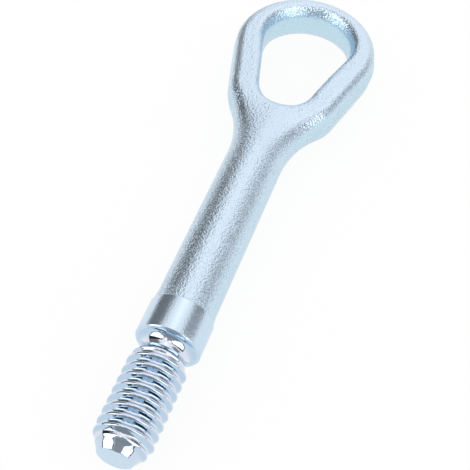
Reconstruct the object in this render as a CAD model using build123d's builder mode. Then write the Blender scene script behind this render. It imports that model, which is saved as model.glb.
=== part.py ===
from build123d import *
from math import radians, sqrt, tan
import os

os.makedirs("parts", exist_ok=True)

# Screw-in tow eye: one steel forging with a turned collar and a rolled thread.
# X runs along the shank from the thread's tip (-X) to the eye (+X), and the eye lies in the XY plane.
# The origin is the centre of the flat shoulder that seats against the socket.

# Threaded end
thread_diameter = 16.0
thread_pitch = 3.0
thread_depth = 1.25
thread_crest_flat = 0.9
thread_root_flat = 0.75
thread_end_angle = 45.0
tip_length = 33.8
tip_face_diameter = 9.4
tip_cone_angle = 31.0
tip_edge_chamfer = 0.3
neck_length = 4.0
neck_relief = 0.35
neck_corner_chamfer = 1.2

# Turned collar
collar_step = 0.65
collar_length = 10.6
shoulder_chamfer = 0.5

# Forged shank and eye
shank_diameter = 17.0
eye_thickness = 13.0
rim_near_x = 98.1
rim_near_radius = 18.27
rim_spread = 18.8
rim_far_radius = 22.97
hole_near_shift = 1.4
hole_near_radius = 9.15
hole_far_shift = 2.0
hole_far_radius = 14.0
rim_outer_fillet = 3.4
rim_inner_fillet = 3.4
fork_radius = 32.5
fork_lead = 6.0
fork_steps = [0.25, 0.5, 0.75, 0.95]
round_split_angle = 20.0
least_bow = 0.01
eye_root_margin = 3.0

# Sizes that follow from those above
thread_radius = thread_diameter / 2
neck_radius = thread_radius - thread_depth - neck_relief
shank_radius = shank_diameter / 2
collar_radius = shank_radius + collar_step
tip_x = -tip_length
neck_middle_x = -neck_length / 2
thread_end_x = -neck_length
rim_far_x = rim_near_x + rim_spread
hole_near_x = rim_near_x + hole_near_shift
hole_far_x = rim_far_x + hole_far_shift
arch_wall = rim_far_x + rim_far_radius - hole_far_x - hole_far_radius
outer_fillet = min(rim_outer_fillet, 0.49 * arch_wall, 0.48 * eye_thickness)
inner_fillet = min(rim_inner_fillet, 0.49 * arch_wall, 0.48 * eye_thickness)
fork_arc_x = rim_near_x - sqrt((rim_near_radius + fork_radius) ** 2 - (shank_radius + fork_radius) ** 2)
fork_start_x = fork_arc_x - fork_lead
eye_root_x = hole_near_x - hole_near_radius - inner_fillet - eye_root_margin

# Thread: a helical groove cut in an over-long rod, which the turned outline then trims
thread_overrun = 1.7 * thread_pitch
groove_start_x = tip_x - thread_overrun
groove_mouth = thread_pitch - thread_crest_flat
groove_slope = (groove_mouth - thread_root_flat) / 2 / thread_depth
groove_rise = 0.4 * thread_crest_flat / groove_slope
groove_half = [
    (-thread_depth, thread_root_flat / 2),
    (groove_rise, groove_mouth / 2 + groove_rise * groove_slope),
]
groove_outline = groove_half + [(depth, -side) for depth, side in reversed(groove_half)]
trim_radius = thread_radius + thread_pitch
tip_cone_end_x = tip_x + (trim_radius - tip_face_diameter / 2) / tan(radians(tip_cone_angle))
back_cone_end_x = thread_end_x - (trim_radius - neck_radius) / tan(radians(thread_end_angle))

with BuildPart() as threaded_end:
    with BuildSketch(Plane.YZ.offset(groove_start_x - thread_overrun)):
        Circle(thread_radius)
    extrude(amount=tip_length + 4 * thread_overrun)
    with BuildLine():
        groove_run = Helix(
            pitch=thread_pitch,
            height=tip_length + 2 * thread_overrun,
            radius=thread_radius,
            center=(groove_start_x, 0, 0),
            direction=(1, 0, 0),
        )
    groove_start = groove_run @ 0
    outward = Vector(0, groove_start.Y, groove_start.Z)
    with BuildSketch(Plane(origin=groove_start, x_dir=outward, z_dir=groove_run % 0)):
        Polygon(*groove_outline, align=None)
    sweep(is_frenet=True, mode=Mode.SUBTRACT)
    with BuildSketch(Plane.XZ) as turned_end:
        with BuildLine():
            Polyline(
                (neck_middle_x, 0),
                (tip_x, 0),
                (tip_x, tip_face_diameter / 2),
                (tip_cone_end_x, trim_radius),
                (back_cone_end_x, trim_radius),
                (thread_end_x, neck_radius),
                (neck_middle_x, neck_radius),
                close=True,
            )
        make_face()
        tip_corner = turned_end.vertices().group_by(Axis.X)[0].sort_by(Axis.Y)[-1]
        chamfer(tip_corner, tip_edge_chamfer)
    revolve(axis=Axis.X, mode=Mode.INTERSECT)

# Eye: the plan outline, cut off square where the fork begins, with the hole through it and rounded rims
with BuildPart() as eye:
    with BuildSketch() as rim_plan:
        with Locations((rim_far_x, 0)):
            Circle(rim_far_radius)
        with Locations((rim_near_x, 0)):
            Circle(rim_near_radius)
        make_hull()
        with Locations((rim_near_x, 0)):
            Rectangle(rim_near_x - fork_start_x, shank_diameter, align=(Align.MAX, Align.CENTER))
        fork_corners = rim_plan.vertices().sort_by(Axis.X)[2:4]
        fillet(fork_corners, fork_radius)
    extrude(amount=eye_thickness / 2, both=True)
    split(bisect_by=Plane.YZ.offset(eye_root_x), keep=Keep.TOP)
    outer_rims = eye.faces().filter_by(Axis.Z).edges() - eye.faces().filter_by(Axis.X).edges()
    fillet(outer_rims, outer_fillet)
    with BuildSketch():
        with Locations((hole_far_x, 0)):
            Circle(hole_far_radius)
        with Locations((hole_near_x, 0)):
            Circle(hole_near_radius)
        make_hull()
    extrude(amount=eye_thickness, both=True, mode=Mode.SUBTRACT)
    hole_rims = eye.edges(Select.LAST).filter_by(Plane.XY)
    fillet(hole_rims, inner_fillet)
eye_root = eye.faces().filter_by(Axis.X).sort_by(Axis.X)[0]


# Section of the fork: bowed sides, top and bottom, joined tangentially by rounded corners
def fork_section(section_x, half_width, half_height, side_end, corner_middle, top_end):
    arcs = []
    for side, level in ((1, 1), (-1, 1), (-1, -1), (1, -1)):
        side_point = Vector(section_x, side * side_end.X, level * side_end.Y)
        corner_point = Vector(section_x, side * corner_middle.X, level * corner_middle.Y)
        top_point = Vector(section_x, side * top_end.X, level * top_end.Y)
        arcs.append(Edge.make_three_point_arc(side_point, corner_point, top_point))
    for sign in (1, -1):
        side_low = Vector(section_x, sign * side_end.X, -side_end.Y)
        side_middle = Vector(section_x, sign * half_width, 0)
        side_high = Vector(section_x, sign * side_end.X, side_end.Y)
        arcs.append(Edge.make_three_point_arc(side_low, side_middle, side_high))
        top_left = Vector(section_x, -top_end.X, sign * top_end.Y)
        top_middle = Vector(section_x, 0, sign * half_height)
        top_right = Vector(section_x, top_end.X, sign * top_end.Y)
        arcs.append(Edge.make_three_point_arc(top_left, top_middle, top_right))
    return Face(Wire(arcs, sequenced=False))


# Fork: a loft from the round shank to the eye's flat root, following the fork's arcs in plan
with BuildPart() as fork:
    side_end = Vector(shank_radius, 0).rotate(Axis.Z, round_split_angle)
    corner_middle = Vector(shank_radius, 0).rotate(Axis.Z, 45)
    top_end = Vector(shank_radius, 0).rotate(Axis.Z, 90 - round_split_angle)
    add(fork_section(fork_start_x, shank_radius, shank_radius, side_end, corner_middle, top_end))
    for step in fork_steps:
        section_x = fork_start_x + step * (eye_root_x - fork_start_x)
        settling = step / fork_steps[-1]
        flattening = settling * settling * (3 - 2 * settling)
        arc_run = max(section_x - fork_arc_x, 0)
        half_width = shank_radius + fork_radius - sqrt(fork_radius**2 - arc_run**2)
        half_height = shank_radius + (eye_thickness / 2 - shank_radius) * flattening
        corner_radius = half_height + (outer_fillet - half_height) * flattening
        bow_radius = shank_radius / max(1 - flattening, least_bow)
        side_centre = Vector(half_width - bow_radius, 0)
        top_centre = Vector(0, half_height - bow_radius)
        apart = (side_centre - top_centre).length
        across = Vector(bow_radius - half_height, bow_radius - half_width).normalized()
        corner_reach = sqrt((bow_radius - corner_radius) ** 2 - apart**2 / 4)
        corner_centre = (side_centre + top_centre) / 2 + across * corner_reach
        side_end = side_centre + (corner_centre - side_centre).normalized() * bow_radius
        top_end = top_centre + (corner_centre - top_centre).normalized() * bow_radius
        to_corner = ((side_end + top_end) / 2 - corner_centre).normalized()
        corner_middle = corner_centre + to_corner * corner_radius
        add(fork_section(section_x, half_width, half_height, side_end, corner_middle, top_end))
    add(eye_root)
    loft(ruled=True)

# Neck, collar and shank, which carry the thread, the fork and the eye
with BuildPart() as tow_eye:
    with BuildSketch(Plane.XZ) as shank_profile:
        with BuildLine():
            Polyline(
                (fork_start_x, shank_radius),
                (fork_start_x, 0),
                (neck_middle_x, 0),
                (neck_middle_x, neck_radius),
                (0, neck_radius),
                (0, collar_radius - shoulder_chamfer),
                (shoulder_chamfer, collar_radius),
                (collar_length - collar_step, collar_radius),
                (collar_length, shank_radius),
                close=True,
            )
        make_face()
        neck_corner = shank_profile.vertices().sort_by_distance((0, neck_radius))[0]
        chamfer(neck_corner, neck_corner_chamfer)
    revolve(axis=Axis.X)
    add(threaded_end.part)
    add(fork.part)
    add(eye.part)
tow_eye.part.label = "tow_eye"
export_step(tow_eye.part, "parts/tow_eye.step")
print(f"overall length {tow_eye.part.bounding_box().size.X:.1f} mm, volume {tow_eye.part.volume / 1000:.2f} cm3")
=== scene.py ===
import bpy
import bmesh
import math
from itertools import product
import numpy as np
from mathutils import Matrix, Vector


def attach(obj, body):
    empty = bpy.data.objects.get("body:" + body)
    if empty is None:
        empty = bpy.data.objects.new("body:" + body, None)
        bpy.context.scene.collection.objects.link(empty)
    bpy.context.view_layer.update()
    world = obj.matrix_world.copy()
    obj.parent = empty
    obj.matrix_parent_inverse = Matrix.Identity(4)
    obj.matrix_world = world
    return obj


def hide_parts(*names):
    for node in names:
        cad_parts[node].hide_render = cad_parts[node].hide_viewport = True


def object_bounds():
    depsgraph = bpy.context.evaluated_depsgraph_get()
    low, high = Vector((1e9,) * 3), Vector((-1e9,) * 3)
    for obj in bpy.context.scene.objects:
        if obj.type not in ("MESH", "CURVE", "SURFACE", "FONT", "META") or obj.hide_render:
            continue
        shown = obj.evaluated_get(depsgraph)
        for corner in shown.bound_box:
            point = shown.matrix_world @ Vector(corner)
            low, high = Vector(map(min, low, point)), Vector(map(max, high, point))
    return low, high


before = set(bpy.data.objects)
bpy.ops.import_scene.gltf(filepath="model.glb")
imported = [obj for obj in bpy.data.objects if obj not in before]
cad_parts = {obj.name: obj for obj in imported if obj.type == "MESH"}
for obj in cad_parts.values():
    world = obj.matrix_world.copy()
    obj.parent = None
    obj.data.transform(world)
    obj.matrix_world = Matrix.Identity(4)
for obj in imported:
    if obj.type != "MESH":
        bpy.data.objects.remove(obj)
cadLow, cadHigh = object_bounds()
mm = 0.001
tiny = 1e-6                         # keeps a division clear of zero
print("frame loaded:", list(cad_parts))


def hexToLinear(hexText):
    parts = [int(hexText[i:i + 2], 16) / 255 for i in (1, 3, 5)]
    linear = [c / 12.92 if c <= 0.04045 else ((c + 0.055) / 1.055) ** 2.4 for c in parts]
    return (*linear, 1.0)


def addNode(tree, kind, settings=None, links=None):
    # a link's source is a number, a socket, or a node that gives its first output
    node = tree.nodes.new(kind)
    for name, value in (settings or {}).items():
        if isinstance(name, str) and hasattr(node, name):
            setattr(node, name, value)
        else:
            node.inputs[name].default_value = value
    for name, source in (links or {}).items():
        if isinstance(source, (int, float)):
            node.inputs[name].default_value = source
        else:
            tree.links.new(getattr(source, "outputs", [source])[0], node.inputs[name])
    return node


def placeObject(name, data):
    placed = bpy.data.objects.new(name, data)
    bpy.context.collection.objects.link(placed)
    return placed


def smoothstep(value):
    part = np.clip(value, 0, 1)
    return part * part * (3 - 2 * part)


def softMax(a, b, width):
    width = np.maximum(width, tiny)
    return np.maximum(a, b) + np.maximum(width - np.abs(a - b), 0) ** 2 / (4 * width)


# Forged fork and eye, in mm
forging = {
    "shankRadius": 8.5,
    "eyeThickness": 13.0,
    "rimNear": (98.1, 18.27),       # x of the centre, and radius
    "rimFar": (116.9, 22.965),
    "rimRounding": 2.7,
    "roundingEndX": 94.0,           # the fork's fuller rounding settles to the rim's here
    "holeNear": (99.5, 9.15),
    "holeFar": (118.9, 14.0),
    "holeLandX": (90.0, 97.0, 105.0, 124.0),
    "holeLand": (2.7, 5.2, 5.2, 3.2),  # half height, at each of those, of the hole's trimmed wall
    "holeLead": 27.0,               # degrees, the lean of the lead-in above that wall
    "holeRounding": 1.4,            # of the lead-in into the top
    "holeCrease": 0.25,             # between the wall and the lead-in
    "holeReach": 8.0,               # the hole shapes the metal this far round it
    "draft": 8.0,                   # degrees, so that the forging leaves its die
    "flashHeight": 0.08,            # ridge that is left where the two dies met
    "flashHalf": 0.4,
    "forkRadius": 35.0,
    "forkLead": 6.0,                # the shank starts to flatten this far before the fork's arcs
    "forkSweep": 24.5,              # run of the arcs over which the section widens
    "forkSweepBlend": 6.0,
    "forkEndX": 91.0,               # the top is flat from here on
    "sidesEndX": 84.0,              # and the sides are upright from here on
    "leastBow": 0.002,              # that a flat keeps, as a share of the shank's
    "cornerGap": 0.02,              # that a corner leaves at half height
    "roundShare": 1e-4,             # a section flattened by less is drawn as a plain circle
    "meetBlend": 0.9,               # softens the ridge where rim and hole roundings meet
    "cutX": 56.0,                   # where the turned shank takes over
    "cell": 0.5,                    # size of the mesh's squares
    "rounds": 5,                    # of smoothing
    "pulls": 4,                     # steps in each round that draw the points onto the surface
    "nudge": 0.01,                  # step that measures the field's slope
    "leastSlope": 0.2,              # of the slope's square
}


def pearDistance(x, y, near, far):
    # distance to the hull of two circles on the x axis, below zero inside
    (nearX, nearR), (farX, farR) = near, far
    span = farX - nearX
    lean = (nearR - farR) / span
    rise = math.sqrt(1 - lean * lean)
    side, ahead = np.abs(y), x - nearX
    along = ahead * rise - side * lean
    toNear = np.hypot(side, ahead) - nearR
    toFar = np.hypot(side, ahead - span) - farR
    toFlank = side * rise + ahead * lean - nearR
    return np.where(along < 0, toNear, np.where(along > span * rise, toFar, toFlank))


def forkArcX(sizes):
    # where the straight shank turns into the fork's arcs
    rimX, rimR = sizes["rimNear"]
    shankR, forkR = sizes["shankRadius"], sizes["forkRadius"]
    return rimX - math.sqrt((rimR + forkR) ** 2 - (shankR + forkR) ** 2)


def outlineDistance(x, y, sizes):
    # plan of the shank, the fork's arcs and the eye's rim
    arcX = forkArcX(sizes)
    centreY = sizes["shankRadius"] + sizes["forkRadius"]
    side = np.abs(y)
    fromX, fromY = x - arcX, side - centreY
    joinX = sizes["rimNear"][0] - arcX
    inArc = (fromX > 0) & (fromX * -centreY - fromY * joinX > 0)
    toArc = sizes["forkRadius"] - np.hypot(fromX, fromY)
    toShank = side - sizes["shankRadius"]
    toRim = pearDistance(x, y, sizes["rimNear"], sizes["rimFar"])
    return np.where(inArc, toArc, np.where(x < arcX, toShank, toRim))


def forgedField(x, y, z, sizes):
    # below zero inside the forging
    arcX = forkArcX(sizes)
    startX = arcX - sizes["forkLead"]
    shankR, forkR, halfEye = sizes["shankRadius"], sizes["forkRadius"], sizes["eyeThickness"] / 2
    flat = smoothstep((x - startX) / (sizes["forkEndX"] - startX))
    upright = smoothstep((x - startX) / (sizes["sidesEndX"] - startX))
    settled = smoothstep((x - startX) / (sizes["roundingEndX"] - startX))
    halfHeight = shankR + (halfEye - shankR) * flat
    corner = shankR + (sizes["rimRounding"] - shankR) * settled
    corner = np.minimum(corner, halfHeight - sizes["cornerGap"] * flat)
    bow = shankR / np.maximum(1 - flat, sizes["leastBow"])
    sideBow = shankR / np.maximum(1 - upright, sizes["leastBow"])
    run = np.maximum(-softMax(arcX - x, -sizes["forkSweep"], sizes["forkSweepBlend"]), 0)
    halfWidth = shankR + forkR - np.sqrt(forkR ** 2 - run ** 2)
    # the sides lean back from the ridge at half height
    up = np.abs(z)
    ridge = sizes["flashHeight"] * (1 - np.exp(-(up / sizes["flashHalf"]) ** 2))
    taper = up * math.tan(math.radians(sizes["draft"])) + ridge
    outline = outlineDistance(x, y, sizes) + taper * flat
    across = halfWidth + outline
    # section of bowed sides and top, joined by a rounded corner
    sideX, topY = halfWidth - sideBow, halfHeight - bow
    apart = np.maximum(np.hypot(sideX, topY), tiny)
    fromSide = ((sideBow - corner) ** 2 - (bow - corner) ** 2 + apart ** 2) / (2 * apart)
    reach = np.sqrt(np.maximum((sideBow - corner) ** 2 - fromSide ** 2, 0))
    cornerX = sideX - (sideX * fromSide + topY * reach) / apart
    cornerY = (topY * fromSide - sideX * reach) / apart
    toSide = np.hypot(across - sideX, up) - sideBow
    toTop = np.hypot(across, up - topY) - bow
    toCorner = np.hypot(across - cornerX, up - cornerY) - corner
    pastSide = (across - cornerX) * cornerY - (up - cornerY) * (cornerX - sideX) < 0
    pastTop = (across - cornerX) * (cornerY - topY) - (up - cornerY) * cornerX > 0
    body = np.where(pastSide & pastTop, toCorner, np.maximum(toSide, toTop))
    body = np.where(flat < sizes["roundShare"], np.hypot(across, up) - shankR, body)
    # hole: an upright wall, a crease, then a lead-in that rounds off to the top
    lead = math.radians(sizes["holeLead"])
    hole = -pearDistance(x, y, sizes["holeNear"], sizes["holeFar"])
    top = topY + np.sqrt(np.maximum(bow ** 2 - across ** 2, 0))
    land = np.interp(x, sizes["holeLandX"], sizes["holeLand"])
    leadReach = (halfEye - land) * math.tan(lead)
    leadIn = hole * math.cos(lead) + (up - land) * math.sin(lead)
    rim = softMax(hole, softMax(leadIn, up - top, sizes["holeRounding"]), sizes["holeCrease"])
    meeting = sizes["meetBlend"] * smoothstep(np.minimum(outline + corner, hole + leadReach))
    return np.where(hole > -sizes["holeReach"], softMax(body, rim, meeting), body)


def surfaceNet(field, xs, ys, zs, sizes):
    # one vertex in each cell that the surface crosses, then drawn onto the surface
    inside = field(*np.meshgrid(xs, ys, zs, indexing="ij")) < 0
    nx, ny, nz = inside.shape
    offsets = product((0, 1), repeat=3)
    corners = [inside[i:nx - 1 + i, j:ny - 1 + j, k:nz - 1 + k] for i, j, k in offsets]
    count = np.sum(corners, axis=0)
    active = (count > 0) & (count < len(corners))
    index = np.full(active.shape, -1)
    index[active] = np.arange(active.sum())
    cells = np.argwhere(active)
    middles = [(line[1:] + line[:-1]) / 2 for line in (xs, ys, zs)]
    points = np.stack([middles[axis][cells[:, axis]] for axis in range(3)], axis=1)
    quads = []
    for axis in range(3):
        order = (axis, (axis + 1) % 3, (axis + 2) % 3)
        nodes = np.moveaxis(inside, order, (0, 1, 2))
        ids = np.moveaxis(index, order, (0, 1, 2))
        a, b, c = np.nonzero(nodes[:-1, 1:-1, 1:-1] != nodes[1:, 1:-1, 1:-1])
        ring = np.stack([ids[a, b, c], ids[a, b + 1, c], ids[a, b + 1, c + 1], ids[a, b, c + 1]], axis=1)
        outward = nodes[a, b + 1, c + 1]
        quads.append(np.where(outward[:, None], ring, ring[:, ::-1]))
    quads = np.concatenate(quads)
    edges = np.concatenate([quads[:, [i, (i + 1) % 4]] for i in range(4)])
    edges = np.concatenate([edges, edges[:, ::-1]])
    neighbours = np.maximum(np.bincount(edges[:, 0], minlength=len(points)), 1)[:, None]
    nudges = sizes["nudge"] * np.eye(3)
    for turn in range(sizes["rounds"]):
        if turn:
            total = [np.bincount(edges[:, 0], points[edges[:, 1], axis], len(points)) for axis in range(3)]
            points = (points + np.stack(total, axis=1) / neighbours) / 2
        for _ in range(sizes["pulls"]):
            slope = [field(*(points + nudge).T) - field(*(points - nudge).T) for nudge in nudges]
            slope = np.stack(slope, axis=1) / (2 * sizes["nudge"])
            steep = np.maximum((slope ** 2).sum(1), sizes["leastSlope"])
            points = points - (field(*points.T) / steep)[:, None] * slope
    return points, quads, np.flatnonzero(cells[:, 0] == 0)


def gridLine(low, high, cell):
    return low + cell * np.arange(math.ceil((high - low) / cell) + 1)


def forgedMesh(sizes):
    cell, shankR = sizes["cell"], sizes["shankRadius"]
    rimX, rimR = sizes["rimFar"]
    halfY = math.ceil(rimR / cell + 1) * cell + cell / 2
    halfZ = math.ceil(shankR / cell + 1) * cell + cell / 2
    xs = gridLine(sizes["cutX"] - cell / 2, rimX + rimR + 2 * cell, cell)
    ys, zs = gridLine(-halfY, halfY, cell), gridLine(-halfZ, halfZ, cell)
    points, quads, loop = surfaceNet(lambda x, y, z: forgedField(x, y, z, sizes), xs, ys, zs, sizes)
    # the open end becomes an even ring, which the turned shank shares
    angles = np.arctan2(points[loop, 2], points[loop, 1]) % (2 * math.pi)
    order = np.argsort(angles)
    loop, angles = loop[order], angles[order]
    spacing = 2 * math.pi / len(loop)
    even = np.arange(len(loop)) * spacing
    even = even + round(float(np.mean(angles - even)) / spacing) * spacing
    ring = [np.full(len(loop), sizes["cutX"]), shankR * np.cos(even), shankR * np.sin(even)]
    points[loop] = np.stack(ring, axis=1)
    return points, quads, len(loop)


forgedPoints, forgedQuads, columns = forgedMesh(forging)
print("forging:", len(forgedPoints), "points,", columns, "columns at the shank")

# Neck, shoulder, collar, shank and tip: x and radius of their corners, in mm from the shoulder
turnedEnd = {
    "neckX": -4.0,
    "neckRadius": 6.3,
    "neckFillet": 2.4,
    "shoulderRadius": 8.83,
    "collarRadius": 9.15,
    "collarChamfer": 0.32,
    "collarBack": 10.6,
    "backChamfer": 0.35,
    "flareEnd": 13.9,
    "flareBlend": 6.0,
    "edgeRadius": 0.12,
    "tipX": -33.8,
    "tipRadius": 4.7,
    "tipChamfer": 0.3,
    "tipAngle": 31.0,
    "tipMiddle": 0.4,               # the last small ring, closed by one face
    "arcStep": 0.2,                 # length of an arc's parts
    "arcParts": (4, 14),            # fewest and most of them
    "shankSpacing": 2.0,            # most between two rings
    "tipSpacing": 0.8,
}


def roundedLine(corners, sizes):
    # corners are x, radius and edge radius; each inner one becomes an arc
    fewest, most = sizes["arcParts"]
    line = [corners[0][:2]]
    for before, here, after in zip(corners, corners[1:], corners[2:]):
        point, edge = Vector(here[:2]), here[2]
        toBefore, toAfter = Vector(before[:2]) - point, Vector(after[:2]) - point
        back = edge / math.tan(toBefore.angle(toAfter) / 2)
        middle = (toBefore.normalized() + toAfter.normalized()).normalized()
        centre = point + middle * math.hypot(back, edge)
        first = point + toBefore.normalized() * back - centre
        last = point + toAfter.normalized() * back - centre
        sweep = first.angle_signed(last)
        parts = math.ceil(abs(sweep) * edge / sizes["arcStep"])
        parts = min(max(parts, fewest), most)
        for i in range(parts + 1):
            arm = first.copy()
            arm.rotate(Matrix.Rotation(-sweep * i / parts, 2))
            line.append(tuple(centre + arm))
    line.append(corners[-1][:2])
    return line


def spacedLine(line, longest):
    spaced = [line[0]]
    for a, b in zip(line, line[1:]):
        parts = max(1, math.ceil(math.dist(a, b) / longest))
        step = (np.array(b) - np.array(a)) / parts
        spaced += [tuple(np.array(a) + step * i) for i in range(1, parts + 1)]
    return spaced


def lathe(line, count):
    angles = np.arange(count) * 2 * math.pi / count
    rings = [np.stack([np.full(count, x), r * np.cos(angles), r * np.sin(angles)], axis=1) for x, r in line]
    ids = np.arange(len(line) * count).reshape(len(line), count)
    near, far = ids[:-1], ids[1:]
    quads = np.stack([near, np.roll(near, -1, axis=1), np.roll(far, -1, axis=1), far], axis=-1)
    return np.concatenate(rings), quads.reshape(-1, 4)


def turnedLines(sizes, shankRadius, cutX):
    edge, neckR, collarR = sizes["edgeRadius"], sizes["neckRadius"], sizes["collarRadius"]
    shankCorners = [
        (sizes["neckX"], neckR, 0),
        (0, neckR, sizes["neckFillet"]),
        (0, sizes["shoulderRadius"], edge),
        (sizes["collarChamfer"], collarR, edge),
        (sizes["collarBack"] - sizes["backChamfer"], collarR, edge),
        (sizes["collarBack"], collarR - sizes["backChamfer"], edge),
        (sizes["flareEnd"], shankRadius, sizes["flareBlend"]),
        (cutX, shankRadius, 0),
    ]
    tipX, tipR, chamfer = sizes["tipX"], sizes["tipRadius"], sizes["tipChamfer"]
    cone = math.radians(sizes["tipAngle"])
    tipCorners = [
        (tipX, sizes["tipMiddle"], 0),
        (tipX, tipR - chamfer, edge),
        (tipX + chamfer * math.cos(cone), tipR + chamfer * math.sin(cone), 0),
    ]
    shank = spacedLine(roundedLine(shankCorners, sizes), sizes["shankSpacing"])
    return shank, spacedLine(roundedLine(tipCorners, sizes), sizes["tipSpacing"])


shankLine, tipLine = turnedLines(turnedEnd, forging["shankRadius"], forging["cutX"])
print("turned end:", len(shankLine), "rings on the shank,", len(tipLine), "on the tip")

# Rolled thread: a sheet of columns round the axis and rows along the helix
rolledThread = {
    "Outer radius": 8.0 * mm,
    "Depth": 1.25 * mm,
    "Pitch": 3.0 * mm,
    "Groove phase": 0.7833,         # turns, where the groove crosses the +Y side
    "Root half": 0.28 * mm,         # half the width of the groove's floor
    "Flank slope": 1.32,
    "Flank blend": 0.28 * mm,
    "Fade start": 1.5 * mm,         # from the tip, where its ridge starts to rise
    "Fade end": 5.5 * mm,
    "Neck fade": 2.2 * mm,          # run over which the ridge dies away at the neck
    "Start X": tipLine[-1][0] * mm,
    "Start radius": tipLine[-1][1] * mm,
    "Start slope": math.tan(math.radians(turnedEnd["tipAngle"])),
    "End X": turnedEnd["neckX"] * mm,
    "End radius": turnedEnd["neckRadius"] * mm,
    "End slope": 1.0,
    "Edge blend": 0.25 * mm,
    "Merge gap": 0.005 * mm,        # closes the sheet's seam
    "Columns": columns,
    "Rows per turn": 36,
    "Turns": 12,
}


def threadTree(material):
    tree = bpy.data.node_groups.new("rolledThread", "GeometryNodeTree")
    tree.interface.new_socket("Geometry", in_out="OUTPUT", socket_type="NodeSocketGeometry")
    identifiers = {}
    for name, value in rolledThread.items():
        kind = "NodeSocketInt" if isinstance(value, int) else "NodeSocketFloat"
        identifiers[name] = tree.interface.new_socket(name, in_out="INPUT", socket_type=kind).identifier
    given = tree.nodes.new("NodeGroupInput").outputs
    place = addNode(tree, "ShaderNodeSeparateXYZ", links={0: addNode(tree, "GeometryNodeInputPosition")})
    made = {name: given[name] for name in rolledThread}
    made.update({"sheetX": place.outputs[0], "sheetY": place.outputs[1]})
    # each line is a value's name, the operation, and what it works on
    # the rows slant along the helix, so they start a turn early and are held at both ends
    sums = [
        ("rowSteps", "MULTIPLY", "Turns", "Rows per turn"),
        ("rowPoints", "ADD", "rowSteps", 1),
        ("columnPoints", "ADD", "Columns", 1),
        ("around", "ADD", "sheetX", 0.5),
        ("alongShare", "ADD", "sheetY", 0.5),
        ("alongTurns", "MULTIPLY_ADD", "alongShare", "Turns", -1.0),
        ("helixTurns", "ADD", "alongTurns", "around"),
        ("helixX", "MULTIPLY_ADD", "helixTurns", "Pitch", "Start X"),
        ("fromStart", "MAXIMUM", "helixX", "Start X"),
        ("x", "MINIMUM", "fromStart", "End X"),
        ("xTurns", "DIVIDE", "x", "Pitch"),
        ("turnsAside", "SUBTRACT", "xTurns", "around"),
        ("phase", "SUBTRACT", "turnsAside", "Groove phase"),
        ("phaseAside", "PINGPONG", "phase", 0.5),
        ("fromGroove", "MULTIPLY", "phaseAside", "Pitch"),
        ("rootRadius", "SUBTRACT", "Outer radius", "Depth"),
        ("startRun", "SUBTRACT", "x", "Start X"),
        ("startCone", "MULTIPLY_ADD", "startRun", "Start slope", "Start radius"),
        ("endRun", "SUBTRACT", "End X", "x"),
        ("endCone", "MULTIPLY_ADD", "endRun", "End slope", "End radius"),
        ("angle", "MULTIPLY", "around", 2 * math.pi),
        ("tipShare", "SMOOTHSTEP", "startRun", "Fade start", "Fade end"),
        ("neckShare", "SMOOTHSTEP", "endRun", 0.0, "Neck fade"),
        ("share", "MULTIPLY", "tipShare", "neckShare"),
        ("fromRoot", "SUBTRACT", "fromGroove", "Root half"),
        ("flank", "MULTIPLY", "fromRoot", "Flank slope"),
        ("overRoot", "SMOOTH_MAX", "flank", 0.0, "Flank blend"),
        ("crested", "SMOOTH_MIN", "overRoot", "Depth", "Flank blend"),
        ("rise", "MULTIPLY", "crested", "share"),
        ("tipTrimmed", "SMOOTH_MIN", "rootRadius", "startCone", "Edge blend"),
        ("threadRadius", "ADD", "rise", "tipTrimmed"),
        ("radius", "SMOOTH_MIN", "threadRadius", "endCone", "Edge blend"),
        ("acrossY", "COSINE", "angle"),
        ("acrossZ", "SINE", "angle"),
        ("y", "MULTIPLY", "radius", "acrossY"),
        ("z", "MULTIPLY", "radius", "acrossZ"),
    ]
    for name, operation, *parts in sums:
        sources = [made.get(part, part) for part in parts]
        if operation == "SMOOTHSTEP":
            links = dict(zip(("Value", "From Min", "From Max"), sources))
            made[name] = addNode(tree, "ShaderNodeMapRange", {"interpolation_type": operation}, links)
        else:
            made[name] = addNode(tree, "ShaderNodeMath", {"operation": operation}, dict(enumerate(sources)))
    size = {"Size X": 1.0, "Size Y": 1.0}
    counts = {"Vertices X": made["columnPoints"], "Vertices Y": made["rowPoints"]}
    sheet = addNode(tree, "GeometryNodeMeshGrid", size, counts)
    position = addNode(tree, "ShaderNodeCombineXYZ", links={0: made["x"], 1: made["y"], 2: made["z"]})
    wrapped = addNode(tree, "GeometryNodeSetPosition", links={"Geometry": sheet, "Position": position})
    closing = {"Geometry": wrapped, "Distance": made["Merge gap"]}
    merged = addNode(tree, "GeometryNodeMergeByDistance", links=closing)
    realized = addNode(tree, "GeometryNodeRealizeInstances", links={"Geometry": merged})
    coated = addNode(tree, "GeometryNodeSetMaterial", {"Material": material}, {"Geometry": realized})
    addNode(tree, "NodeGroupOutput", links={0: coated})
    return tree, identifiers


def threadMesh(material):
    carrier = placeObject("threadCarrier", bpy.data.meshes.new("threadCarrier"))
    tree, identifiers = threadTree(material)
    modifier = carrier.modifiers.new("rolledThread", "NODES")
    modifier.node_group = tree
    for name, value in rolledThread.items():
        modifier[identifiers[name]] = value
    carrier.update_tag()
    evaluated = carrier.evaluated_get(bpy.context.evaluated_depsgraph_get())
    mesh = bpy.data.meshes.new_from_object(evaluated)
    carrier.modifiers.remove(modifier)
    bpy.data.objects.remove(carrier)
    print("thread:", len(mesh.vertices), "points")
    return mesh
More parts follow.
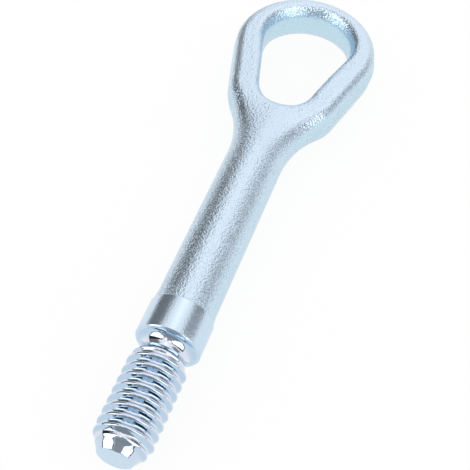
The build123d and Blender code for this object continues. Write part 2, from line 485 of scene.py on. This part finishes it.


# Zinc plating with a clear blue passivation, over three grounds
# The colour goes from tops to the flank colour as the normal's share along the given axis goes through the
# given span; the flank colour, darker and bluer, is painted shade and painted reflection

# Blasted forging: the grain of the shot scatters each reflection into a sparkle
blastedZinc = {
    "name": "zincOnBlastedForging",
    "tops": "#d3e4f4",
    # flank colour: painted shade and reflection, darker and bluer than the tops
    "paintedFlankShadeAndReflection": "#c8e3f1",
    "roughness": 0.28,
    "paintedShadeAxis": 2,
    "paintedShadeSpan": (0.8, 0.15),
    "grainMm": 0.62,                # width of a grain, coarser than the shot leaves it so that it shows
    "grainDepthMm": 0.24,
}
# Turned collar and shoulder: nearly a mirror, with a faint pitting left by the plating
turnedZinc = {
    "name": "zincOnTurnedSteel",
    "tops": "#d3e4f4",
    # flank colour: painted shade and reflection, darker and bluer than the tops
    "paintedFlankShadeAndReflection": "#c8dff0",
    "roughness": 0.22,
    "paintedShadeAxis": 2,
    "paintedShadeSpan": (0.8, 0.15),
    "grainMm": 0.6,                 # as coarse as the forging's, so that it shows
    "grainDepthMm": 0.05,
}
# Rolled thread and its neck: burnished, so the brightest of the three
rolledZinc = {
    "name": "zincOnRolledThread",
    "tops": "#dce2ee",
    # flank colour: painted shade and reflection, darker and bluer than the tops
    "paintedFlankShadeAndReflection": "#bbd1e5",
    "roughness": 0.06,
    "paintedShadeAxis": 0,
    "paintedShadeSpan": (0.3, 0.75),
    "grainMm": 0.6,
    "grainDepthMm": 0.01,
}
grainNoise = {"Detail": 1.0, "Roughness": 0.6}


def zincMaterial(finish):
    material = bpy.data.materials.new(finish["name"])
    material.use_nodes = True
    tree = material.node_tree
    shader = tree.nodes["Principled BSDF"]
    shader.inputs["Metallic"].default_value = 1.0
    shader.inputs["Roughness"].default_value = finish["roughness"]
    # painted shade and reflection: flank faces are painted a little darker and bluer than the tops
    normal = addNode(tree, "ShaderNodeNewGeometry").outputs["Normal"]
    facing = addNode(tree, "ShaderNodeSeparateXYZ", links={0: normal}).outputs[finish["paintedShadeAxis"]]
    level = addNode(tree, "ShaderNodeMath", {"operation": "ABSOLUTE"}, {0: facing})
    span = dict(zip(("From Min", "From Max"), finish["paintedShadeSpan"]))
    aside = addNode(tree, "ShaderNodeMapRange", span, {"Value": level})
    colours = {6: hexToLinear(finish["tops"]), 7: hexToLinear(finish["paintedFlankShadeAndReflection"])}  # the node's colour sockets
    paintedFlankMix = addNode(tree, "ShaderNodeMix", {"data_type": "RGBA", **colours}, {0: aside})
    tree.links.new(paintedFlankMix.outputs[2], shader.inputs["Base Color"])
    coords = addNode(tree, "ShaderNodeTexCoord").outputs["Object"]
    pattern = {"Scale": 1 / (finish["grainMm"] * mm), **grainNoise}
    grain = addNode(tree, "ShaderNodeTexNoise", pattern, {"Vector": coords})
    bump = addNode(tree, "ShaderNodeBump", {"Distance": finish["grainDepthMm"] * mm}, {"Height": grain})
    tree.links.new(bump.outputs[0], shader.inputs["Normal"])
    return material


# One closed skin from the forging, the turned end and the thread, in mm
joining = {
    "mergeGap": 0.004,              # joins the rings that two of them share
    "neckEndX": -0.05,              # the neck is as bright as the thread up to here
}


def joinForging():
    skins = [zincMaterial(finish) for finish in (blastedZinc, turnedZinc, rolledZinc)]
    blasted, turned, rolled = range(len(skins))
    builder = bmesh.new()
    builder.from_mesh(threadMesh(skins[rolled]))
    for face in builder.faces:
        face.material_index = rolled
    shapes = [
        (forgedPoints, forgedQuads, blasted),
        (*lathe(shankLine, columns), turned),
        (*lathe(tipLine, columns), turned),
    ]
    for points, quads, skin in shapes:
        verts = [builder.verts.new(point) for point in points * mm]
        for quad in quads:
            face = builder.faces.new([verts[i] for i in quad])
            face.material_index = skin
    bmesh.ops.remove_doubles(builder, verts=builder.verts, dist=joining["mergeGap"] * mm)
    openEdges = [e for e in builder.edges if e.is_boundary]
    bmesh.ops.holes_fill(builder, edges=openEdges, sides=0)
    bmesh.ops.recalc_face_normals(builder, faces=builder.faces)
    for face in builder.faces:
        face.smooth = True
        middleX = face.calc_center_median().x / mm
        if face.material_index == turned and middleX > turnedEnd["collarBack"]:
            face.material_index = blasted
        elif face.material_index == turned and turnedEnd["neckX"] < middleX < joining["neckEndX"]:
            face.material_index = rolled
    loose = sum(not e.is_manifold for e in builder.edges)
    print("joined:", len(builder.faces), "faces,", len(openEdges), "edges closed at the tip,", loose, "loose")
    mesh = bpy.data.meshes.new("towEye")
    builder.to_mesh(mesh)
    builder.free()
    for skin in skins:
        mesh.materials.append(skin)
    return mesh


towEye = placeObject("towEye", joinForging())
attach(towEye, "root")
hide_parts("tow_eye")

# Pale floor that the eye lies on, in m
whiteSheet = {"reach": 3.0, "colour": "#fdfdfe", "roughness": 0.9, "glowShare": 0.92}


def whiteSheetMaterial():
    # paper: no gloss, and bright enough to leave only a soft shadow under the part
    material = bpy.data.materials.new("matteWhiteSheet")
    material.use_nodes = True
    tree = material.node_tree
    paper = tree.nodes["Principled BSDF"]
    paper.inputs["Base Color"].default_value = hexToLinear(whiteSheet["colour"])
    paper.inputs["Roughness"].default_value = whiteSheet["roughness"]
    glow = addNode(tree, "ShaderNodeEmission", {"Color": (1, 1, 1, 1), "Strength": 1.0})
    # the glow is seen, also in reflections, but lights nothing
    path = addNode(tree, "ShaderNodeLightPath").outputs
    rays = {0: path["Is Camera Ray"], 1: path["Is Glossy Ray"]}
    direct = addNode(tree, "ShaderNodeMath", {"operation": "MAXIMUM"}, rays)
    rays = {0: direct, 1: path["Is Transmission Ray"]}
    seen = addNode(tree, "ShaderNodeMath", {"operation": "MAXIMUM"}, rays)
    shares = {0: seen, 1: whiteSheet["glowShare"]}
    share = addNode(tree, "ShaderNodeMath", {"operation": "MULTIPLY"}, shares)
    surface = addNode(tree, "ShaderNodeMixShader", links={0: share, 1: paper, 2: glow})
    tree.links.new(surface.outputs[0], tree.nodes["Material Output"].inputs["Surface"])
    return material


def paleFloor():
    reach, floorZ = whiteSheet["reach"], cadLow[2]
    corners = ((-reach, -reach), (reach, -reach), (reach, reach), (-reach, reach))
    mesh = bpy.data.meshes.new("floor")
    mesh.from_pydata([(x, y, floorZ) for x, y in corners], [], [range(len(corners))])
    mesh.materials.append(whiteSheetMaterial())
    placeObject("floor", mesh)


paleFloor()

# Studio: a white room, with soft boxes and dark cards that only reflections see
# Each has its azimuth from +X, half width, heights and soft edge in degrees, and its light
# A later card lies inside an earlier one and covers it
studioCards = {
    "farSoftBox": {"azimuth": -5, "half": 20, "low": 47, "high": 74, "soft": 14, "light": 1.32},
    "roofBox": {"azimuth": -165, "half": 70, "low": 62, "high": 84, "soft": 6, "light": 1.5},
    "leftGap": {"azimuth": 53, "half": 20, "low": -8, "high": 47, "soft": 6, "light": 0.2},
    "leftFrame": {"azimuth": 113, "half": 42, "low": 0, "high": 67, "soft": 1.5, "light": 0.03},
    "rightGap": {"azimuth": -52, "half": 14, "low": 6, "high": 45, "soft": 7, "light": 0.29},
    "rightFrame": {"azimuth": -116, "half": 38, "low": 0, "high": 67, "soft": 1.5, "light": 0.04},
    "rightOfCamera": {"azimuth": -122, "half": 27, "low": 5, "high": 62, "soft": 2, "light": 2.0},
    "leftOfCamera": {"azimuth": 126, "half": 24, "low": 5, "high": 62, "soft": 2, "light": 2.0},
    "cameraStand": {"azimuth": -176, "half": 26, "low": 2, "high": 52, "soft": 3, "light": 0.35},
    "cameraHead": {"azimuth": -166, "half": 20, "low": 40, "high": 82, "soft": 3, "light": 0.36},
}
cardSphere = {"centre": (0.05, 0.0, 0.0), "radius": 1.2, "spacing": 0.01, "columns": 40, "rows": 32}


def studioMesh():
    points, faces, cover, light = [], [], [], []
    columnCount, rowCount = cardSphere["columns"], cardSphere["rows"]
    for order, card in enumerate(studioCards.values()):
        soft = card["soft"]
        sideEdge, lowEdge, highEdge = card["half"] + soft, card["low"] - soft, card["high"] + soft
        aside = np.linspace(-1, 1, columnCount) * sideEdge
        height = np.linspace(lowEdge, highEdge, rowCount)
        fadeAside = smoothstep((sideEdge - np.abs(aside)) / (2 * soft))
        fadeUp = smoothstep((height - lowEdge) / (2 * soft)) * smoothstep((highEdge - height) / (2 * soft))
        turn, rise = np.meshgrid(np.radians(card["azimuth"] + aside), np.radians(height))
        ball = np.stack([np.cos(rise) * np.cos(turn), np.cos(rise) * np.sin(turn), np.sin(rise)], axis=-1)
        radius = cardSphere["radius"] - order * cardSphere["spacing"]
        ids = len(points) + np.arange(rowCount * columnCount).reshape(rowCount, columnCount)
        quads = np.stack([ids[:-1, :-1], ids[:-1, 1:], ids[1:, 1:], ids[1:, :-1]], axis=-1)
        points += (np.array(cardSphere["centre"]) + radius * ball).reshape(-1, 3).tolist()
        faces += quads.reshape(-1, 4).tolist()
        cover += np.outer(fadeUp, fadeAside).ravel().tolist()
        light += [card["light"]] * ids.size
    mesh = bpy.data.meshes.new("studioCards")
    mesh.from_pydata(points, [], faces)
    for name, values in (("cover", cover), ("light", light)):
        mesh.attributes.new(name, "FLOAT", "POINT").data.foreach_set("value", values)
    return mesh


def studioCardMaterial():
    # each card glows at its own level and fades out at its edges
    material = bpy.data.materials.new("softBoxCloth")
    material.use_nodes = True
    tree = material.node_tree
    tree.nodes.remove(tree.nodes["Principled BSDF"])
    level = addNode(tree, "ShaderNodeAttribute", {"attribute_name": "light"}).outputs["Fac"]
    cover = addNode(tree, "ShaderNodeAttribute", {"attribute_name": "cover"}).outputs["Fac"]
    glow = addNode(tree, "ShaderNodeEmission", {"Color": (1, 1, 1, 1)}, {"Strength": level})
    clear = addNode(tree, "ShaderNodeBsdfTransparent")
    surface = addNode(tree, "ShaderNodeMixShader", links={0: cover, 1: clear, 2: glow})
    tree.links.new(surface.outputs[0], tree.nodes["Material Output"].inputs["Surface"])
    material.cycles.emission_sampling = "NONE"
    return material


def whiteRoom():
    cardMesh = studioMesh()
    cardMesh.materials.append(studioCardMaterial())
    cards = placeObject("studioCards", cardMesh)
    cards.visible_camera = False
    cards.visible_diffuse = False
    cards.visible_shadow = False
    world = bpy.data.worlds.new("whiteRoom")
    bpy.context.scene.world = world
    world.use_nodes = True
    background = world.node_tree.nodes["Background"]
    background.inputs["Color"].default_value = (1, 1, 1, 1)
    background.inputs["Strength"].default_value = 1.0


whiteRoom()
print("studio:", len(studioCards), "cards")

# Camera at the photograph's place, in mm and degrees
view = {
    "position": (-128.80, -50.62, 236.10),
    "elevation": 53.3095,
    "azimuth": 15.3873,
    "roll": 5.7956,
    "focalPixels": 1044.63,
    "imagePixels": 470,
    "sensor": 36.0,
    "clipStart": 10.0,
}


def photoCamera():
    elevation, azimuth, roll = (math.radians(view[name]) for name in ("elevation", "azimuth", "roll"))
    level = math.cos(elevation)
    backward = Vector((-level * math.cos(azimuth), -level * math.sin(azimuth), math.sin(elevation)))
    right = (-backward).cross(Vector((0, 0, 1))).normalized()
    up = right.cross(-backward)
    tiltedRight = math.cos(roll) * right + math.sin(roll) * up
    tiltedUp = -math.sin(roll) * right + math.cos(roll) * up
    data = bpy.data.cameras.new("camera")
    data.sensor_width = view["sensor"]
    data.lens = view["focalPixels"] / view["imagePixels"] * view["sensor"]
    data.clip_start = view["clipStart"] * mm
    camera = placeObject("camera", data)
    turn = Matrix((tiltedRight, tiltedUp, backward)).transposed()
    camera.matrix_world = Matrix.Translation(Vector(view["position"]) * mm) @ turn.to_4x4()
    bpy.context.scene.camera = camera
    print("camera set, lens", round(data.lens, 2))


photoCamera()
bpy.context.scene.view_settings.view_transform = "Standard"
